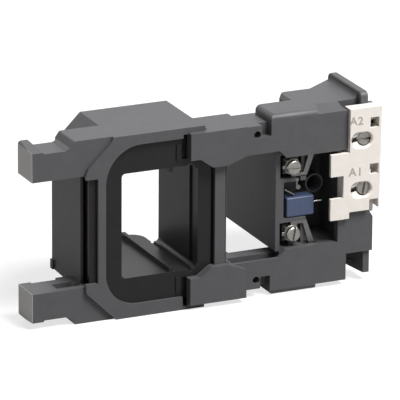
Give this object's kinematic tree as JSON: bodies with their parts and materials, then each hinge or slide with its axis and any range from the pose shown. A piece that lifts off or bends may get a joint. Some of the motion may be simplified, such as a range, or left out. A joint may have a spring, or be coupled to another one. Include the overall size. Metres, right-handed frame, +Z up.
{
  "type": "contactor coil",
  "caption": "Spare coil of a large contactor: moulded body with two arms, wound bobbin round a square window, terminal housing and pale terminal cover.",
  "frame": {"origin": "middle of the bounding box in X and Y, at the underside of the body, which stands on the ground", "axes": "+X along the body from the two arms towards the terminals, +Y from the front bezel to the back, +Z up from the lower bar to the upper bar"},
  "size_m": [0.1492, 0.0576, 0.0783],
  "materials": {
    "grey_plastic": "moulded, fine satin texture",
    "black_plastic": "moulded, satin",
    "copper_wire": "enamelled copper turns",
    "insulating_tape": "glass cloth tape",
    "cream_plastic": "moulded, satin",
    "tinned_strip": "tinned sheet strip",
    "zinc_steel": "zinc plated",
    "blue_resin": "moulded resin case",
    "tinned_wire": "tinned wire",
    "lead_sleeve": "woven sleeve"
  },
  "bodies": {
    "root": {"coil_body": "grey_plastic", "rear_cover": "grey_plastic", "terminal_housing": "grey_plastic", "housing_lid": "grey_plastic", "bobbin": "black_plastic", "winding": "copper_wire", "winding_tape": "insulating_tape", "terminal_cover": "cream_plastic", "inner_plate_lower": "tinned_strip", "inner_plate_upper": "tinned_strip", "outer_plates": "tinned_strip", "inner_washers": "zinc_steel", "outer_washers": "zinc_steel", "inner_screws": "zinc_steel", "outer_screws": "zinc_steel", "nuts": "zinc_steel", "suppressor": "blue_resin", "suppressor_leads": "tinned_wire", "end_pin": "tinned_wire", "winding_lead_lower": "lead_sleeve", "winding_lead_upper": "lead_sleeve"}
  },
  "joints": []
}
